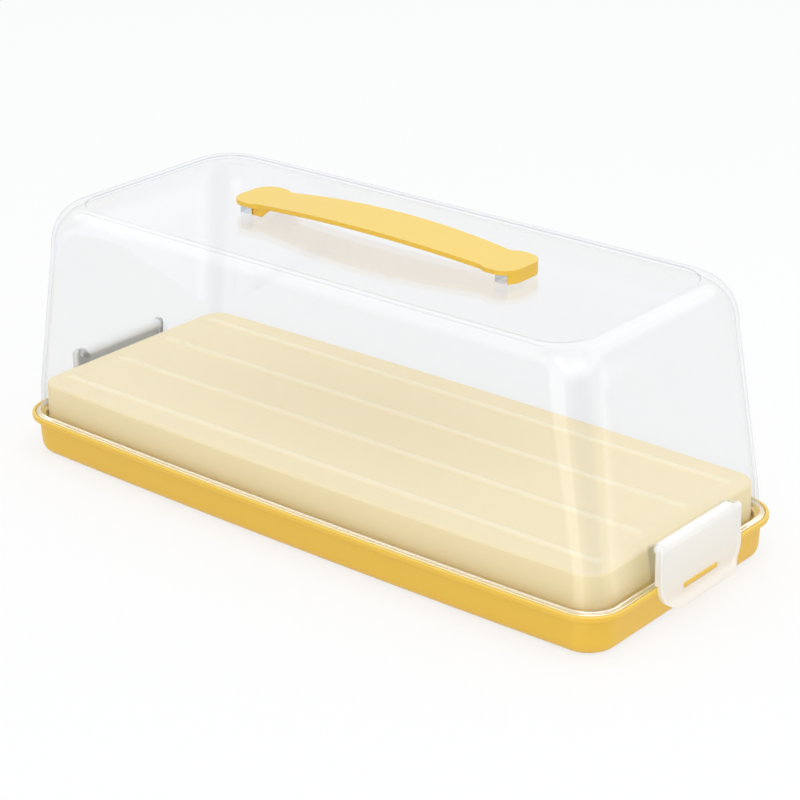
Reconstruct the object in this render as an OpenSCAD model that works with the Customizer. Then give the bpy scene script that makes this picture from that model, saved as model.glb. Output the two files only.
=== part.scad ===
// Loaf cake carrier: a rolled-rim tray with a raised serving platform, a tall clear lid with
// a flat top, a strap handle hooked over the lid's posts, and a hinged clip at each end.
// Long side along X, width along Y, up is Z. The tray stands on Z = 0, its middle at X = Y = 0.

/* [Tray] */
// Length over the rolled rim
tray_l = 360; // [300:1:420]
// Width over the rolled rim, at the middle of the long sides
tray_w = 150; // [124:1:200]
// How far each long side draws in from its middle to its ends
side_bow = 2.6; // [0:0.1:5]
// Outer corner radius of the rolled rim
rim_corner_r = 19; // [15:0.5:35]
// Height of the top of the rolled rim
rim_top_z = 21.6; // [19:0.1:30]
// Height of the rolled rim itself
rim_h = 3.1; // [2.4:0.1:4.4]
// How far the rolled rim stands out from the tray wall
rim_out = 3.4; // [2.6:0.1:4.4]
// Width of the rim's lip outside the lid's flange
rim_lip_w = 1.6; // [1.2:0.1:2.4]
// Thickness of the ledge that carries the lid
ledge_t = 1.6; // [1.2:0.1:2.4]
// How far the ledge reaches in past the lid's wall
ledge_margin = 0.6; // [0.3:0.1:1]
// Wall thickness of the tray
tray_wall_t = 1.8; // [1.2:0.1:2.4]
// Floor thickness of the tray
tray_floor_t = 2; // [1.4:0.1:3.5]
// Radius of the tray's rounded bottom edge
tray_edge_r = 6; // [3:0.5:9]
// Size of the bevel where the wall meets the floor inside
floor_edge_r = 2; // [1:0.5:4]
// How far the tray wall leans in at the bottom
tray_draft = 1; // [0:0.1:2]

/* [Serving platform] */
// Height of the platform's top face above the table
platform_top_z = 37; // [32:0.5:44]
// Clearance between the platform's top edge and the lid's end walls
platform_lid_gap = 0.4; // [0.3:0.05:2]
// Clearance between the platform's foot and the tray
platform_foot_gap = 0.3; // [0.2:0.05:1]
// Wall thickness of the platform
platform_t = 1.8; // [1.2:0.1:3]
// Radius of the platform's top edge
platform_edge_r = 1.6; // [0.8:0.1:3]
// Number of lengthwise ribs
rib_count = 4; // [2:1:4]
// Spacing of the ribs
rib_pitch = 33.5; // [14:0.5:36]
// Width of a rib
rib_w = 6; // [3:0.5:8]
// Height of a rib
rib_h = 0.8; // [0.4:0.1:1.5]
// Distance from a rib's end to the platform's end
rib_end_gap = 3; // [2:0.5:20]

/* [Lid] */
// Height of the edge round the lid's flat top
lid_top_z = 132.4; // [110:0.2:160]
// Wall thickness of the lid
lid_t = 1.6; // [1.2:0.1:2.2]
// Clearance round the lid's flange in the tray's rim
seat_gap = 0.3; // [0.2:0.05:0.5]
// Width of the flange that rests in the tray rim
flange_w = 2.6; // [2:0.1:3.5]
// Thickness of the flange
flange_t = 1.6; // [1.2:0.1:2.4]
// Lean of the lid's end walls, in millimetres per millimetre of height
end_lean = 0.14; // [0.06:0.01:0.16]
// Lean of the lid's long walls, in millimetres per millimetre of height
side_lean = 0.04; // [0:0.01:0.08]
// Height over which the lid's shoulder is rounded
shoulder_h = 22; // [12:0.5:30]
// How far the shoulder draws in at the ends
shoulder_end_in = 12.5; // [8:0.5:18]
// How far the shoulder draws in along the long sides
shoulder_side_in = 9.5; // [6:0.5:14]
// Corner radius at the foot of the lid wall
lid_foot_r = 12; // [10:0.5:24]
// Corner radius where the shoulder starts
lid_shoulder_r = 18; // [16:0.5:30]
// Corner radius of the flat top
lid_top_r = 19; // [10:0.5:24]
// Bow left in the long sides at the lid's top
top_bow = 0.8; // [0:0.1:3]
// Depth of the shallow step inside the top edge
panel_step = 0.8; // [0.4:0.1:1.2]
// Width of the raised edge round the flat top
panel_edge_w = 1.6; // [1:0.1:3]

/* [Handle] */
// Length of the handle
handle_l = 169; // [130:1:200]
// Distance of the handle's middle from the carrier's middle, towards +X
handle_x = 2; // [0:0.5:4]
// Width of the handle at its middle
handle_mid_w = 28; // [25:0.5:36]
// Width of the handle's neck beside each end pad
handle_neck_w = 23; // [20:0.5:25]
// Width of the end pads
handle_pad_w = 27; // [25:0.5:36]
// Length of an end pad
pad_l = 19; // [18:0.5:26]
// Corner radius of the end pads
pad_corner_r = 9; // [5:0.5:9]
// Thickness of the strap
strap_t = 2.2; // [1.6:0.1:2.8]
// Height of the end pads above the lid's top
pad_h = 6.8; // [6:0.1:10]
// Rise of the strap from the pads to its middle
strap_rise = 3.2; // [1:0.1:8]
// Thickness of the handle's skirt and foot walls
skirt_t = 1.8; // [1.2:0.1:2.4]
// Gap between the handle's feet and the lid's top
foot_gap = 0.3; // [0.1:0.05:0.6]
// Length of a foot along the strap, at the lid
foot_l = 6.2; // [5:0.1:9]
// How much longer a foot is at the strap
foot_flare = 6; // [2:0.5:9]
// Length of a post on the lid
post_l = 5; // [4:0.5:6]
// Width of a post on the lid
post_w = 22; // [16:0.5:23]
// Distance from the handle's end to the post
post_end_gap = 5.1; // [4.6:0.1:6]
// Distance from a post to the wall of the foot beside it
post_foot_gap = 2.2; // [2:0.1:3]
// Width of the hooks that hold the handle on its posts
hook_w = 12; // [8:0.5:14]
// Height of a hook
hook_h = 1.6; // [1.2:0.1:1.7]
// Clearance round the hooks
hook_gap = 0.3; // [0.2:0.05:0.4]

/* [Clips] */
// Width of a clip
clip_w = 62; // [46:1:72]
// Thickness of a clip's plate
clip_t = 1.8; // [1.4:0.1:2.2]
// Gap between the clip's plate and the outside of the rim
clip_rim_gap = 0.4; // [0.3:0.1:0.9]
// Height of a clip's hinge axis
hinge_z = 38.6; // [36:0.2:44]
// Distance of the hinge axis in from the plate's inner face
hinge_in = 2.8; // [2.6:0.1:3.2]
// Radius of the clip's hinge barrel
barrel_r = 2.6; // [2.2:0.1:2.9]
// Diameter of the clip's trunnions
trunnion_d = 3; // [2.2:0.1:3.4]
// Radial clearance of a trunnion in its cheek
trunnion_gap = 0.06; // [0.02:0.01:0.1]
// Thickness of a cheek on the lid
cheek_t = 2; // [1.6:0.1:3]
// Gap beside a cheek, to the clip's side wall and to its barrel
cheek_gap = 0.4; // [0.3:0.05:0.8]
// Gap between a cheek's round top and the plate that swings past it
cheek_swing_gap = 0.3; // [0.3:0.05:0.4]
// How far a cheek's top drops from over its axis to the lid's wall, to clear the opened clip
cheek_back_drop = 1.8; // [1.6:0.1:3]
// Thickness of a clip's side walls
clip_side_t = 1.8; // [1.2:0.1:2.4]
// Depth of a clip's side walls behind its plate
clip_side_d = 1.6; // [0.8:0.1:2]
// Gap between a clip's side walls and the top of the rim
clip_side_gap = 1.5; // [0.5:0.1:4]
// Bevel at a clip's top front edge
top_bevel = 1.2; // [0.4:0.1:1.3]
// Height of the slot's lower edge
slot_z = 15.6; // [14.6:0.1:16]
// Length of the slot
slot_l = 26.6; // [18:0.2:34]
// Clearance between the slot and the tray's catch lug
slot_gap = 0.3; // [0.2:0.05:0.5]
// Height of the bend where the finger lip starts
lip_bend_z = 14; // [12.5:0.1:14.5]
// Height of the lip's lower edge
lip_z = 10.6; // [8:0.1:11.4]
// How far the finger lip flares out
lip_out = 3.2; // [2:0.1:6]
// Width of the raised border round a clip's face
border_w = 3.2; // [2:0.1:5]
// Height of the raised border
border_h = 0.7; // [0.3:0.1:1]
// Height at which the raised border ends
border_top_z = 27; // [20:0.5:32]
// Corner radius at the bottom of a clip
clip_corner_r = 12; // [6:0.5:12]
// Corner radius at the top of a clip
clip_top_r = 2; // [1:0.5:4]

/* [Hidden] */
$fn = 48;

yellow = [0.93, 0.75, 0.33];
pale_yellow = [0.95, 0.89, 0.75];
clear = [0.90, 0.94, 0.97, 0.35];
frosted = [0.93, 0.93, 0.91, 0.75];

// Outline resolution: steps in each corner, along each long side, in an edge and in the shoulder
corner_steps = 6;
side_steps = 6;
edge_steps = 4;
shoulder_steps = 8;
strap_steps = 16;
// Overlap that joins two solids of one piece
bond = 0.4;

// Heights and insets in the rolled rim, from its outside
rim_bottom_z = rim_top_z - rim_h;
rim_round = rim_h / 4;
ledge_z = rim_top_z - flange_t;
tray_inner_in = rim_out + tray_wall_t;

// Lid foot, shoulder and top
flange_in = rim_lip_w + seat_gap;
wall_in = flange_in + flange_w;
ledge_in = wall_in + lid_t + ledge_margin;
wall_foot_z = ledge_z + flange_t;
shoulder_z = lid_top_z - shoulder_h;
wall_h = shoulder_z - wall_foot_z;
panel_z = lid_top_z - panel_step;

// Platform insets from the outside of the rim
platform_in = wall_in + lid_t + end_lean * (platform_top_z - wall_foot_z) + platform_lid_gap;
floor_in = tray_inner_in + tray_draft / 2 + floor_edge_r;
platform_foot_in = floor_in + platform_foot_gap;

// Clip places, measured at the +X end
plate_x = tray_l / 2 + clip_rim_gap;
plate_out_x = plate_x + clip_t;
hinge_x = plate_x - hinge_in;
hinge_top_z = hinge_z + barrel_r;
cheek_y = clip_w / 2 - clip_side_t - cheek_gap - cheek_t;
barrel_l = 2 * (cheek_y - cheek_gap);
ear_r = hinge_in - cheek_swing_gap;
slot_top_z = rim_bottom_z;

// Handle places above the lid's top panel, from the handle's own middle
pad_top_z = panel_z + pad_h;
pad_under_z = pad_top_z - strap_t;
foot_z = panel_z + foot_gap;
neck_x = handle_l / 2 - pad_l;
post_x = handle_l / 2 - post_end_gap - post_l / 2;
foot_x = -post_x + post_l / 2 + post_foot_gap;

// One ring of the outline: a rounded rectangle whose long sides bow out in the middle
function bowed(p, l, bow) = [p[0], p[1] - sign(p[1]) * bow * pow(2 * p[0] / l, 2), p[2]];
function corner(l, w, r, z, q) =
    let (sx = (q == 0 || q == 3) ? 1 : -1, sy = q < 2 ? 1 : -1)
    [for (k = [0 : corner_steps])
        let (a = 90 * q + 90 * k / corner_steps)
        [sx * (l / 2 - r) + r * cos(a), sy * (w / 2 - r) + r * sin(a), z]];
function side(l, w, r, z, s) =
    [for (k = [1 : side_steps - 1]) [-s * (l / 2 - r) * (2 * k / side_steps - 1), s * w / 2, z]];
function ring(l, w, r, z, bow) =
    [for (p = concat(corner(l, w, r, z, 0), side(l, w, r, z, 1), corner(l, w, r, z, 1),
                     corner(l, w, r, z, 2), side(l, w, r, z, -1), corner(l, w, r, z, 3)))
        bowed(p, l, bow)];

// A ring set in from the outside of the rim by the same amount all round
function rim_ring(inset, z) =
    ring(tray_l - 2 * inset, tray_w - 2 * inset, max(4, rim_corner_r - inset), z, side_bow);

// A ring of the lid's skin, where t is 0 on the outside and lid_t on the inside
function lid_wall_ring(z, t) =
    let (u = (z - wall_foot_z) / wall_h)
    ring(tray_l - 2 * (wall_in + end_lean * (z - wall_foot_z) + t),
         tray_w - 2 * (wall_in + side_lean * (z - wall_foot_z) + t),
         lid_foot_r + (lid_shoulder_r - lid_foot_r) * u - t, z,
         side_bow + (top_bow - side_bow) * u);
function lid_shoulder_ring(a, t) =
    let (draw = 1 - cos(a), top_z = t > 0 ? panel_z - t : lid_top_z)
    ring(tray_l - 2 * (wall_in + end_lean * wall_h + shoulder_end_in * draw + t),
         tray_w - 2 * (wall_in + side_lean * wall_h + shoulder_side_in * draw + t),
         lid_shoulder_r + (lid_top_r - lid_shoulder_r) * draw - t,
         shoulder_z + (top_z - shoulder_z) * sin(a), top_bow);
function lid_panel_ring(inset, z) =
    ring(tray_l - 2 * (wall_in + end_lean * wall_h + shoulder_end_in + inset),
         tray_w - 2 * (wall_in + side_lean * wall_h + shoulder_side_in + inset),
         lid_top_r - inset, z, top_bow);

// A closed skin through a list of rings, with a flat cap on the first and the last one
module skin(rings) {
    n = len(rings[0]);
    last = len(rings) - 1;
    polyhedron(
        points = [for (r = rings) each r],
        faces = concat(
            [[for (i = [0 : n - 1]) i]],
            [for (k = [0 : last - 1], i = [0 : n - 1])
                [k * n + i, (k + 1) * n + i, (k + 1) * n + (i + 1) % n]],
            [for (k = [0 : last - 1], i = [0 : n - 1])
                [k * n + i, (k + 1) * n + (i + 1) % n, k * n + (i + 1) % n]],
            [[for (i = [n - 1 : -1 : 0]) last * n + i]]),
        convexity = 6);
}

// A bar along Y whose section in X and Z is the given outline
module bar_along_y(outline, width) {
    rotate([90, 0, 0]) linear_extrude(width, center = true) polygon(outline);
}

// A round bar along Y, centred at the given place
module rod_along_y(x, z, d, length) {
    translate([x, 0, z]) rotate([90, 0, 0]) cylinder(d = d, h = length, center = true);
}

// A box given by its two ends in X and in Z, centred in Y
module block(x0, x1, width, z0, z1) {
    translate([x0, -width / 2, z0]) cube([x1 - x0, width, z1 - z0]);
}

module rounded_rectangle(l, w, r) {
    square([l - 2 * r, w], center = true);
    square([l, w - 2 * r], center = true);
    for (sx = [-1, 1], sy = [-1, 1])
        translate([sx * (l / 2 - r), sy * (w / 2 - r)]) circle(r);
}

module tray() {
    bottom_in = rim_out + tray_draft;
    color(yellow) union() {
        skin(concat(
            [for (k = [0 : edge_steps])
                let (a = 90 * k / edge_steps)
                rim_ring(bottom_in + tray_edge_r * (1 - sin(a)), tray_edge_r * (1 - cos(a)))],
            [rim_ring(rim_out, rim_bottom_z),
             rim_ring(rim_round, rim_bottom_z),
             rim_ring(0, rim_bottom_z + rim_round),
             rim_ring(0, rim_top_z - rim_round),
             rim_ring(rim_round, rim_top_z),
             rim_ring(rim_lip_w, rim_top_z),
             rim_ring(rim_lip_w, ledge_z),
             rim_ring(ledge_in, ledge_z),
             rim_ring(ledge_in, ledge_z - ledge_t),
             rim_ring(tray_inner_in, ledge_z - ledge_t - (ledge_in - tray_inner_in)),
             rim_ring(tray_inner_in + tray_draft / 2, tray_floor_t + floor_edge_r),
             rim_ring(floor_in, tray_floor_t)]));
        for (s = [-1, 1]) catch_lug(s);
    }
}

// The lug under the rim that a closed clip's slot drops over: its root hangs from the rim, and
// its nose, which the slot clears all round, reaches to the clip's outer face
module catch_lug(s) {
    root_x = tray_l / 2 - rim_out - bond;
    rim_edge_x = tray_l / 2 - rim_round;
    lug_w = slot_l - 2 * slot_gap;
    mirror([s < 0 ? 1 : 0, 0, 0]) {
        block(root_x, rim_edge_x, lug_w, slot_z + slot_gap, rim_bottom_z + bond);
        block(root_x, plate_out_x, lug_w, slot_z + slot_gap, slot_top_z - slot_gap);
    }
}

module serving_platform() {
    inner_corner_z = platform_top_z - platform_t - platform_edge_r;
    color(pale_yellow) union() {
        skin(concat(
            [rim_ring(platform_in + platform_t + platform_edge_r / 2, platform_top_z - platform_t),
             rim_ring(platform_in + platform_t, inner_corner_z),
             rim_ring(platform_foot_in + platform_t, tray_floor_t),
             rim_ring(platform_foot_in, tray_floor_t)],
            [for (k = [0 : edge_steps])
                let (a = 90 * k / edge_steps)
                rim_ring(platform_in + platform_edge_r * (1 - cos(a)),
                         platform_top_z - platform_edge_r * (1 - sin(a)))]));
        for (k = [0 : rib_count - 1]) platform_rib((k - (rib_count - 1) / 2) * rib_pitch);
    }
}

// One low rib along the platform, with a slightly narrower crown
module platform_rib(y) {
    rib_l = tray_l - 2 * (platform_in + platform_edge_r + rib_end_gap);
    crown_w = rib_w / 2;
    translate([0, y, platform_top_z]) rotate([90, 0, 90]) linear_extrude(rib_l, center = true)
        polygon([[-rib_w / 2, -bond], [rib_w / 2, -bond], [rib_w / 2, 0], [crown_w / 2, rib_h],
                 [-crown_w / 2, rib_h], [-rib_w / 2, 0]]);
}

module lid() {
    bore_d = trunnion_d + 2 * trunnion_gap;
    color(clear) difference() {
        union() {
            skin(concat(
                [for (k = [shoulder_steps : -1 : 1]) lid_shoulder_ring(90 * k / shoulder_steps, lid_t)],
                [lid_wall_ring(shoulder_z, lid_t), lid_wall_ring(wall_foot_z, lid_t),
                 rim_ring(wall_in + lid_t, ledge_z), rim_ring(flange_in, ledge_z),
                 rim_ring(flange_in, wall_foot_z), lid_wall_ring(wall_foot_z, 0)],
                [for (k = [0 : shoulder_steps]) lid_shoulder_ring(90 * k / shoulder_steps, 0)],
                [lid_panel_ring(panel_edge_w, lid_top_z),
                 lid_panel_ring(panel_edge_w + panel_step, panel_z)]));
            for (s = [-1, 1]) {
                for (side = [-1, 1]) clip_cheek(s, side);
                handle_post(s);
            }
        }
        for (s = [-1, 1]) rod_along_y(s * hinge_x, hinge_z, bore_d, 2 * (cheek_y + cheek_t + bond));
    }
}

// One of the two cheeks that carry a clip, just inside its side walls, with a round top
module clip_cheek(s, side) {
    front_x = hinge_x + ear_r;
    flange_x = tray_l / 2 - flange_in - bond / 2;
    root_x = tray_l / 2 - wall_in - lid_t / 2;
    step_z = rim_top_z + 2 * seat_gap;
    top_z = hinge_z + ear_r;
    back_z = top_z - cheek_back_drop;
    mirror([s < 0 ? 1 : 0, 0, 0]) translate([0, side * (cheek_y + cheek_t / 2), 0]) {
        bar_along_y([[root_x, wall_foot_z - bond], [flange_x, wall_foot_z - bond],
                     [flange_x, step_z], [front_x, step_z + front_x - flange_x],
                     [front_x, hinge_z], [hinge_x, top_z],
                     [root_x - end_lean * (back_z - wall_foot_z), back_z]], cheek_t);
        rod_along_y(hinge_x, hinge_z, 2 * ear_r, cheek_t);
    }
}

// A post that an end of the handle hooks onto, with its hook on the +X side
module handle_post(s) {
    top_z = pad_under_z - hook_gap;
    wall_x = s < 0 ? foot_x : handle_l / 2 - skirt_t;
    translate([handle_x, 0, 0]) {
        translate([s * post_x, 0, panel_z - bond])
            linear_extrude(top_z - panel_z + bond) square([post_l, post_w], center = true);
        block(s * post_x, wall_x - hook_gap, hook_w, top_z - hook_h, top_z);
    }
}

// Half width of the handle's strap at a distance x from its middle
function strap_half_w(x) =
    (handle_neck_w + (handle_mid_w - handle_neck_w) * (1 - pow(x / neck_x, 2))) / 2;

// Height of the strap's top face at a distance x from its middle
function strap_top_z(x) = pad_top_z + strap_rise * (1 - pow(x / neck_x, 2));

// Places along the strap at which its outline is worked out
function strap_xs() = [for (k = [0 : strap_steps]) neck_x * (2 * k / strap_steps - 1)];
function reversed(list) = [for (k = [len(list) - 1 : -1 : 0]) list[k]];

// Outline of the handle seen from above
module handle_plan() {
    xs = strap_xs();
    polygon(concat([for (x = xs) [x, -strap_half_w(x)]],
                   [for (x = reversed(xs)) [x, strap_half_w(x)]]));
    for (s = [-1, 1]) {
        translate([s * (handle_l / 2 - pad_l / 2), 0]) rounded_rectangle(pad_l, handle_pad_w, pad_corner_r);
        translate([s * neck_x, 0]) square([pad_l, handle_neck_w], center = true);
    }
}

// Side view of the strap and its end pads
module strap_section() {
    xs = strap_xs();
    polygon(concat(
        [[-handle_l / 2, pad_top_z], [-handle_l / 2, pad_under_z]],
        [for (x = xs) [x, strap_top_z(x) - strap_t]],
        [[handle_l / 2, pad_under_z], [handle_l / 2, pad_top_z]],
        [for (x = reversed(xs)) [x, strap_top_z(x)]]));
}

module handle() {
    color(yellow) translate([handle_x, 0, 0]) intersection() {
        union() {
            rotate([90, 0, 0]) linear_extrude(handle_mid_w + handle_pad_w, center = true) strap_section();
            end_skirt();
            strap_foot();
        }
        translate([0, 0, panel_z]) linear_extrude(pad_h + strap_rise + bond) handle_plan();
    }
}

// The skirt round the +X end of the handle, with the lip that catches under its post's hook
module end_skirt() {
    wall_x = handle_l / 2 - skirt_t;
    post_face_x = post_x + post_l / 2;
    difference() {
        block(post_face_x + post_foot_gap, handle_l / 2, handle_pad_w, foot_z, pad_under_z + bond);
        translate([0, 0, panel_z]) linear_extrude(pad_h) translate([wall_x - pad_l / 2, 0])
            rounded_rectangle(pad_l, handle_pad_w - 2 * skirt_t, pad_corner_r - skirt_t);
    }
    hook_lip(post_face_x, wall_x);
}

// The foot on the inner side of the -X post: a cross wall and two sloping side ribs
module strap_foot() {
    block(foot_x, foot_x + skirt_t, handle_neck_w, foot_z, pad_under_z + bond);
    for (side = [-1, 1])
        translate([0, side * (handle_neck_w - skirt_t) / 2, 0])
            bar_along_y([[foot_x, foot_z], [foot_x + foot_l, foot_z],
                         [foot_x + foot_l + foot_flare, pad_under_z + bond],
                         [foot_x, pad_under_z + bond]], skirt_t);
    hook_lip(foot_x - post_foot_gap, foot_x);
}

// The lip on a foot wall that catches under the post's hook
module hook_lip(post_face_x, wall_x) {
    hook_under_z = pad_under_z - hook_gap - hook_h;
    block(post_face_x + hook_gap, wall_x + bond, hook_w, foot_z, hook_under_z - hook_gap);
}

// A clip as it hangs at the +X end
module clip() {
    difference() {
        union() {
            intersection() {
                union() {
                    bar_along_y(clip_section(), clip_w);
                    for (side = [-1, 1]) clip_side(side);
                }
                clip_front(0);
            }
            intersection() {
                bar_along_y(border_section(), clip_w);
                difference() {
                    clip_front(0);
                    clip_front(border_w);
                }
            }
            block(hinge_x, plate_x + bond, barrel_l, hinge_z - barrel_r, hinge_top_z);
            rod_along_y(hinge_x, hinge_z, 2 * barrel_r, barrel_l);
            rod_along_y(hinge_x, hinge_z, trunnion_d, 2 * (cheek_y + cheek_t));
        }
        block(plate_x - clip_t, plate_out_x + clip_t, slot_l, slot_z, slot_top_z);
    }
}

// A side wall of a clip, which stops above the rim
module clip_side(side) {
    translate([0, side * (clip_w - clip_side_t) / 2, 0])
        block(plate_x - clip_side_d, plate_x + bond, clip_side_t, rim_top_z + clip_side_gap, hinge_top_z);
}

// Side view of a clip: the plate and the flared finger lip
function clip_section() =
    [[plate_x, hinge_top_z], [plate_out_x - top_bevel, hinge_top_z],
     [plate_out_x, hinge_top_z - top_bevel], [plate_out_x, lip_bend_z],
     [plate_out_x + lip_out, lip_z], [plate_out_x + lip_out - clip_t, lip_z],
     [plate_x, lip_bend_z - clip_t / 2]];

// Side view of the raised border, which fades out towards the top
function border_section() =
    [[plate_out_x - bond, border_top_z], [plate_out_x, border_top_z],
     [plate_out_x + border_h, lip_bend_z + border_w], [plate_out_x + border_h, lip_bend_z],
     [plate_out_x + lip_out + border_h, lip_z], [plate_out_x + lip_out - bond, lip_z],
     [plate_out_x - bond, lip_bend_z]];

// Front outline of a clip, set in by the given amount: small top and large bottom corners
module clip_front(inset) {
    l = clip_w - 2 * inset;
    w = hinge_top_z - lip_z - 2 * inset;
    big_r = clip_corner_r - inset;
    small_r = max(0.5, clip_top_r - inset);
    translate([hinge_x, 0, (hinge_top_z + lip_z) / 2])
        rotate([90, 0, 90]) linear_extrude(2 * (hinge_in + clip_t + lip_out)) {
            translate([0, big_r / 2]) rounded_rectangle(l, w - big_r, small_r);
            rounded_rectangle(l, w, big_r);
        }
}

module clip_left() {
    color(frosted) mirror([1, 0, 0]) clip();
}

module clip_right() {
    color(frosted) clip();
}

tray();
serving_platform();
lid();
handle();
clip_left();
clip_right();
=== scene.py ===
import math

import bmesh
import bpy
from mathutils import Matrix, Vector


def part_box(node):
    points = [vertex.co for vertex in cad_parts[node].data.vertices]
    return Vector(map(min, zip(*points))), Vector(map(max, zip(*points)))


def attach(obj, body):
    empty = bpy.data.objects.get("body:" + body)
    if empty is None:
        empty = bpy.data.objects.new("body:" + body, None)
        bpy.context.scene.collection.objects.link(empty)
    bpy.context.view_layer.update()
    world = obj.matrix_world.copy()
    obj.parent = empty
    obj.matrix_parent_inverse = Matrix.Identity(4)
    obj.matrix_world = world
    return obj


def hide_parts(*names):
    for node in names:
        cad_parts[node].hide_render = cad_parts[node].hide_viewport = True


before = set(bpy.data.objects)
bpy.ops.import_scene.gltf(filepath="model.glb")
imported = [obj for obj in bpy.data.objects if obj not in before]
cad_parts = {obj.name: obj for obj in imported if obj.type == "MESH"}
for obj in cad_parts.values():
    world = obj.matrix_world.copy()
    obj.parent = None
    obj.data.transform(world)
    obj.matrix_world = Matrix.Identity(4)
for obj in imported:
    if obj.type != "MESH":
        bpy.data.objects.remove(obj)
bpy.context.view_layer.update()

MM = 0.001


def cad(node, corner, axis):
    """One face of a CAD node's box, in millimetres: corner 0 is low and 1 is high."""
    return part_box(node)[corner][axis] / MM


# Tray. An inset is measured inward from the outside of its rolled rim.
RIM_L = 360.0
RIM_W = cad("tray", 1, 1) - cad("tray", 0, 1)
RIM_TOP = cad("tray", 1, 2)
RIM_H = 3.1
RIM_R = 19.0
INNER_MIN_R = 4.0
RIM_OUT = 3.4
RIM_LIP_W = 1.6
SIDE_BOW = 2.6
TRAY_WALL = 1.8
TRAY_FLOOR = 2.0
TRAY_DRAFT = 1.0
TRAY_EDGE_R = 6.0
TRAY_FLOOR_R = 2.5
TRAY_CAP_IN = 12.0
LEDGE_T = 1.6
LEDGE_MARGIN = 0.6
SEAT_GAP = 0.3
LUG_BITE = 0.4

# Lid
LID_TOP = 132.4
LID_T = 1.6
FLANGE_W = 2.6
FLANGE_T = 1.6
END_LEAN = 0.14
SIDE_LEAN = 0.04
SHOULDER_H = 22.0
SHOULDER_END_IN = 12.5
SHOULDER_SIDE_IN = 9.5
LID_FOOT_R = 12.0
LID_SHOULDER_R = 18.0
LID_TOP_R = 19.0
TOP_BOW = 0.8
PANEL_STEP = 0.8
PANEL_EDGE_W = 1.6
PANEL_CAP_IN = 4.0

# Serving platform
PLATFORM_TOP = 37.0
PLATFORM_GAP = 0.4
PLATFORM_T = 1.8
PLATFORM_EDGE_R = 1.6
PLATFORM_BORDER = 6.0
PLATFORM_CAP_IN = 20.0
PLATFORM_FOOT_IN = 2.0
PLATFORM_FOOT_GAP = 0.3
RIB_PITCH = 33.5
RIB_YS = tuple(RIB_PITCH * k for k in (-1.5, -0.5, 0.5, 1.5))
RIB_W = 6.0
RIB_H = 0.8
RIB_END_L = 3.0

# Places that follow from the sizes above
LEDGE_Z = RIM_TOP - FLANGE_T
RIM_FOOT = RIM_TOP - RIM_H
FLANGE_IN = RIM_LIP_W + SEAT_GAP
WALL_IN = FLANGE_IN + FLANGE_W
SHOULDER_Z = LID_TOP - SHOULDER_H
WALL_H = SHOULDER_Z - RIM_TOP
PANEL_Z = LID_TOP - PANEL_STEP
PLATFORM_IN = WALL_IN + LID_T + END_LEAN * (PLATFORM_TOP - RIM_TOP) + PLATFORM_GAP

# Handle, with the lid's posts under its ends
HANDLE_L = 169.0
HANDLE_X = 2.0
HANDLE_MID_W = 28.0
HANDLE_NECK_W = 23.0
HANDLE_PAD_W = 27.0
PAD_L = 19.0
PAD_R = 9.0
PAD_FLARE_GAP = 0.5
PAD_FLARE_L = 5.0
STRAP_T = 2.2
STRAP_RISE = 3.2
PAD_TOP = PANEL_Z + 6.8
PAD_UNDER = PAD_TOP - STRAP_T
SKIRT_T = 1.8
SKIRT_INSET = 0.05
FOOT_Z = PANEL_Z + 0.3
FOOT_TOP = PAD_UNDER + 0.6
FOOT_SIDE_IN = 0.6
FOOT_L = 6.2
FOOT_FLARE = 6.0
POST_L = 5.0
POST_W = 22.0
POST_END_IN = 5.1
POST_X = HANDLE_L / 2 - POST_END_IN - POST_L / 2
POST_TOP = PAD_UNDER - 0.3
POST_FOOT_GAP = 2.2
NECK_X = HANDLE_L / 2 - PAD_L

# Clips, at the +X end
CLIP_W = 62.0
CLIP_T = 1.8
PLATE_IN_X = RIM_L / 2 + 0.4
PLATE_OUT_X = PLATE_IN_X + CLIP_T
HINGE_X = PLATE_IN_X - 2.8
HINGE_Z = 38.6
BARREL_R = 2.6
CLIP_TOP = HINGE_Z + BARREL_R
CLIP_TOP_R = 2.0
CLIP_TOP_ROUND = 2.8
CLIP_CORNER_R = 12.0
PLATE_TOP = CLIP_TOP - 0.23
BARREL_TOP = CLIP_TOP - 0.03
LIP_Z = 10.6
LIP_START_Z = 15.5
LIP_OUT = 3.2
LIP_CURVE = 1.5
SLOT_L = 26.6
SLOT_Z = (15.6, RIM_FOOT)
SLOT_GAP = 0.3
BORDER_W = 3.2
BORDER_H = 0.7
BORDER_SLOPE = 0.8
BORDER_END_Z = 30.0
BORDER_FADE = 12.0
CHEEK_T = 2.0
CHEEK_GAP = 0.4
CHEEK_BITE = 0.05
CHEEK_FOOT_IN = 0.2
CHEEK_BACK_DROP = 1.8
EAR_R = 2.5
CLIP_SIDE_T = 1.8
CLIP_SIDE_IN = 0.02
CLIP_SIDE_X = (PLATE_IN_X - 1.6, PLATE_IN_X + 0.3)
CLIP_SIDE_FOOT = RIM_TOP + 1.5
CLIP_SIDE_TOP = CLIP_TOP - 0.4
CHEEK_Y = CLIP_W / 2 - CLIP_SIDE_T - CHEEK_GAP - CHEEK_T
BARREL_HALF = CHEEK_Y - CHEEK_GAP
TRUNNION_D = 3.0
TRUNNION_ROOT = 0.5
TRUNNION_CHAMFER = 0.3

# Camera, as the photograph was taken
AZIMUTH, ELEVATION, ROLL = 40.33, 23.3, -0.74
AIM = (9.02, -17.56, 70.0)
DISTANCE = 1120.18
FOCAL_PIXELS, PHOTO_PIXELS, SENSOR = 2374.16, 800, 36.0

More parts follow.
